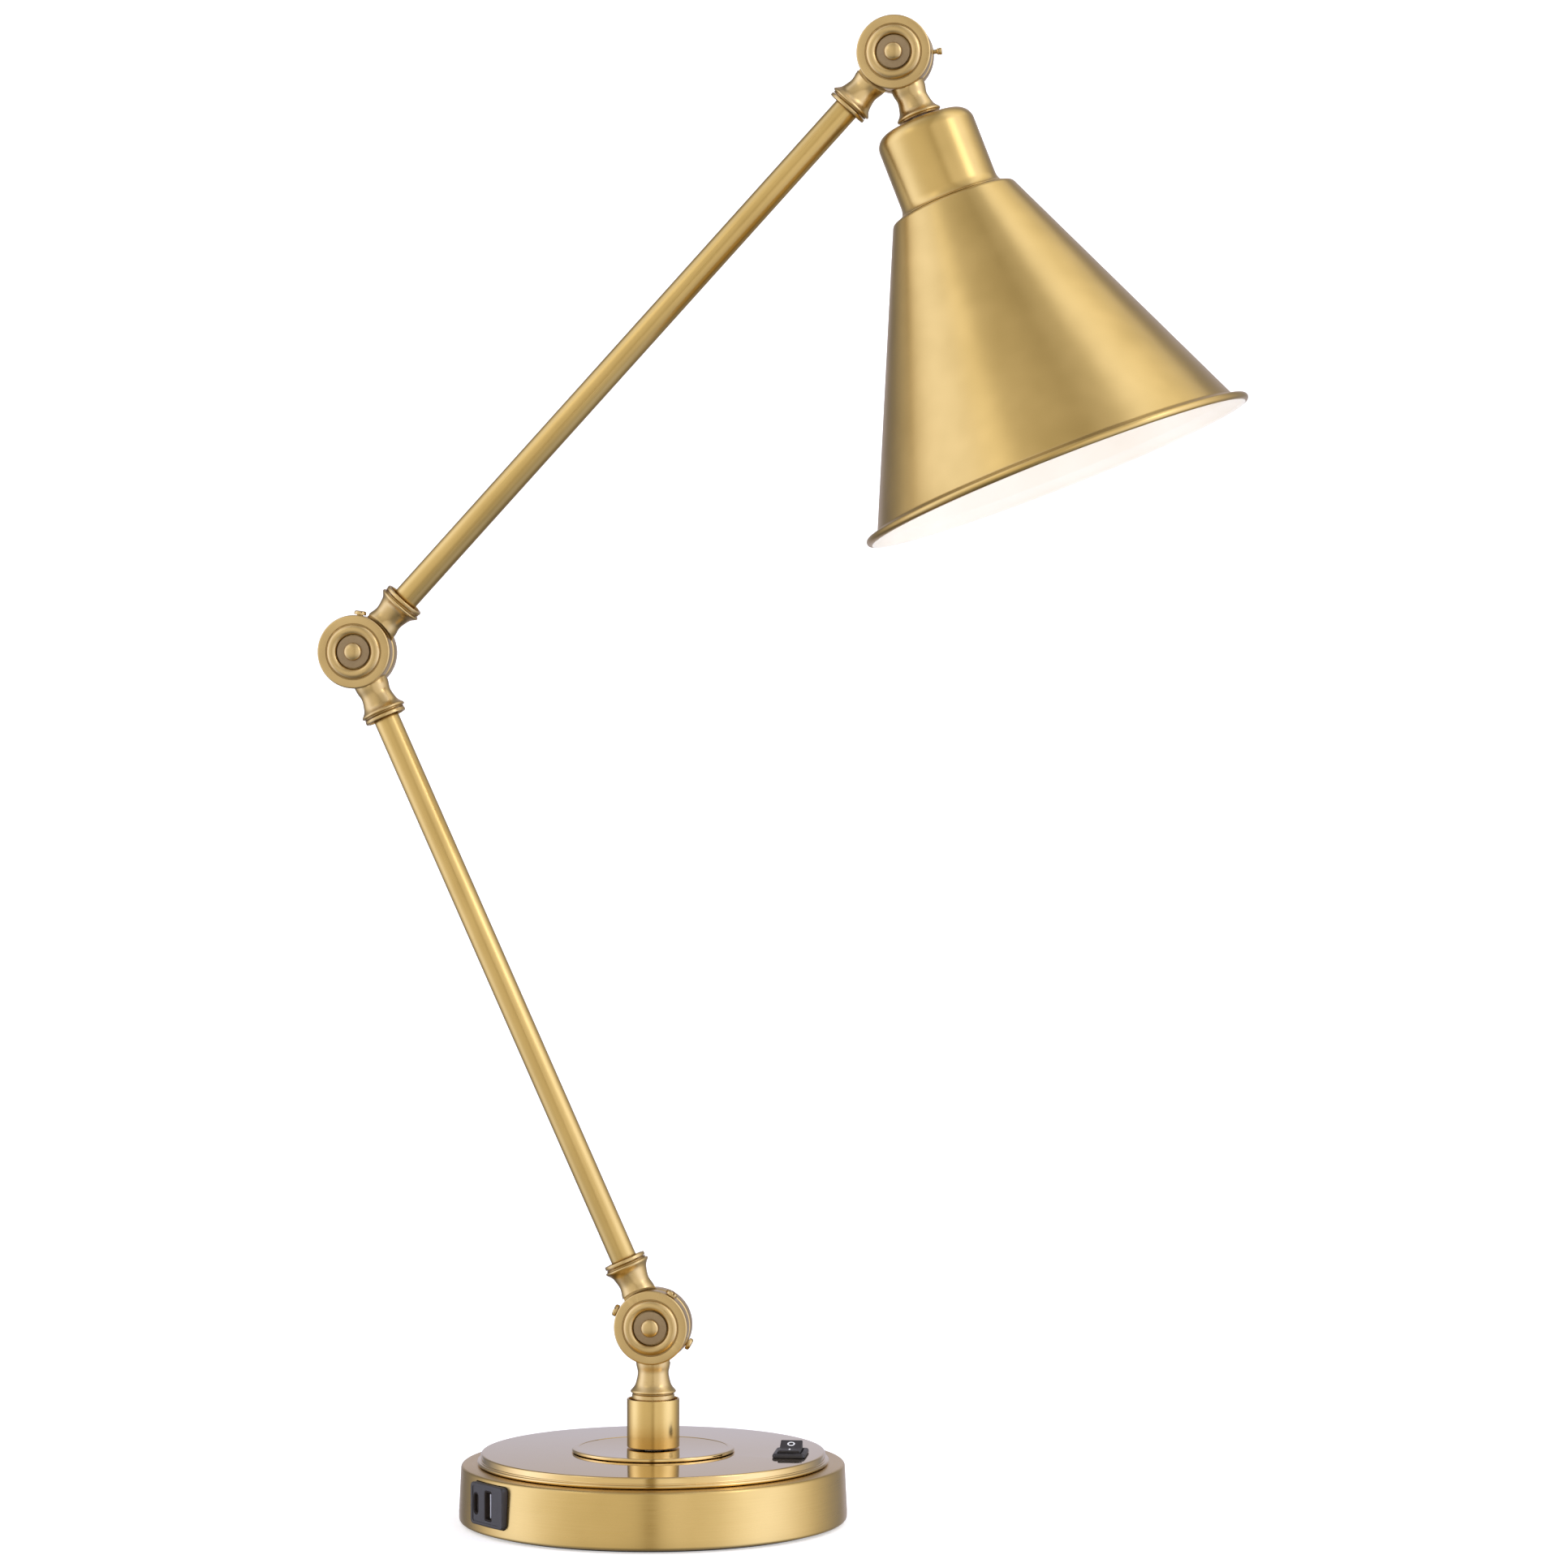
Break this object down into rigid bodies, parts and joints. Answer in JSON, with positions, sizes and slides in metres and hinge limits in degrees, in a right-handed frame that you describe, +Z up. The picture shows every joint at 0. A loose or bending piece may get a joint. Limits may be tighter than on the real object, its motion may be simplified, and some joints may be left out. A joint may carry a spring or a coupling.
{
  "type": "swing arm desk lamp",
  "caption": "Desk lamp with a round weighted base, a rocker switch, charging ports, two tube arms on toothed knuckles and a conical metal shade.",
  "frame": {"origin": "middle of the pad's underside, on the desk, under the swivel axis", "axes": "+Z up, arms swing in the XZ plane with the shade towards +X, front towards -Y"},
  "size_m": [0.4282, 0.186, 0.6894],
  "materials": {
    "brushed_brass": "circumferentially brushed, satin lacquer",
    "polished_brass": "polished almost to a mirror",
    "satin_brass": "fine brushed satin",
    "antique_brass": "matte antique cast finish with bright edges",
    "dull_brass": "matte, darkened",
    "blackened_steel": "blackened, toothed",
    "zinc_steel": "zinc plated",
    "cast_iron": "raw casting",
    "black_plastic": "satin moulded",
    "lead_cover": "smooth lead sheath",
    "black_rubber": "matte",
    "black_felt": "pressed felt",
    "nylon": "natural",
    "circuit_board": "solder mask",
    "bulb_glass": "frosted"
  },
  "bodies": {
    "base": {"base_housing": "brushed_brass", "felt_pad": "black_felt", "bottom_plate": "zinc_steel", "base_weight": "cast_iron", "top_plate": "polished_brass", "flange_disc": "brushed_brass", "post_sleeve": "brushed_brass", "swivel_washer": "nylon", "port_plate": "black_plastic", "usb_a_port": "zinc_steel", "usb_a_tongue": "zinc_steel", "usb_c_port": "zinc_steel", "port_board": "circuit_board", "switch_frame": "black_plastic", "cable_inlet": "black_rubber", "base_screw_1": "zinc_steel", "base_screw_2": "zinc_steel", "base_screw_3": "zinc_steel"},
    "rocker": {"rocker_button": "black_plastic"},
    "turret": {"base_knuckle": "antique_brass", "base_toothed_washer": "blackened_steel", "base_cap_washer": "dull_brass", "base_bolt": "antique_brass", "base_nut": "antique_brass", "base_left_stop": "antique_brass", "base_right_stop": "antique_brass", "swivel_nipple": "zinc_steel", "swivel_lock_nut": "zinc_steel"},
    "lower_arm": {"lower_arm_foot": "antique_brass", "lower_foot_stop": "antique_brass", "lower_arm_lower_ring": "antique_brass", "lower_arm_tube": "satin_brass", "lower_arm_lead": "lead_cover", "lower_arm_upper_ring": "antique_brass", "lower_arm_head": "antique_brass", "elbow_stop": "antique_brass", "elbow_toothed_washer": "blackened_steel", "elbow_cap_washer": "dull_brass", "elbow_bolt": "antique_brass", "elbow_nut": "antique_brass"},
    "upper_arm": {"upper_arm_foot": "antique_brass", "upper_arm_lower_ring": "antique_brass", "upper_arm_tube": "satin_brass", "upper_arm_lead": "lead_cover", "upper_arm_upper_ring": "antique_brass", "upper_arm_head": "antique_brass", "head_stop": "antique_brass"},
    "head": {"head_knuckle": "antique_brass", "head_toothed_washer": "blackened_steel", "head_cap_washer": "dull_brass", "head_bolt": "antique_brass", "head_nut": "antique_brass", "head_washer": "antique_brass", "head_nipple": "zinc_steel", "socket_cup": "satin_brass", "shade": "satin_brass", "lampholder": "black_plastic", "holder_ring": "black_plastic", "bulb_cap": "zinc_steel", "bulb_glass": "bulb_glass"}
  },
  "joints": [
    {"name": "base_swivel", "type": "hinge", "parent": "base", "child": "turret", "pos_m": [0, 0, 0.0897], "axis": [0, 0, 1], "range_deg": [-165, 165]},
    {"name": "lower_tilt", "type": "hinge", "parent": "turret", "child": "lower_arm", "pos_m": [0, 0, 0.0897], "axis": [0, -1, 0], "range_deg": [-25.5, 11.5]},
    {"name": "elbow_tilt", "type": "hinge", "parent": "lower_arm", "child": "upper_arm", "pos_m": [-0.13875, 0, 0.39988], "axis": [0, -1, 0], "range_deg": [-61, 5]},
    {"name": "head_tilt", "type": "hinge", "parent": "upper_arm", "child": "head", "pos_m": [0.1119, 0, 0.67246], "axis": [0, -1, 0], "range_deg": [-12, 50]},
    {"name": "rocker_tilt", "type": "hinge", "parent": "base", "child": "rocker", "pos_m": [0.0643, -0.00506, 0.0311], "axis": [0.9997, 0.0262, 0], "range_deg": [-22, 0]}
  ]
}
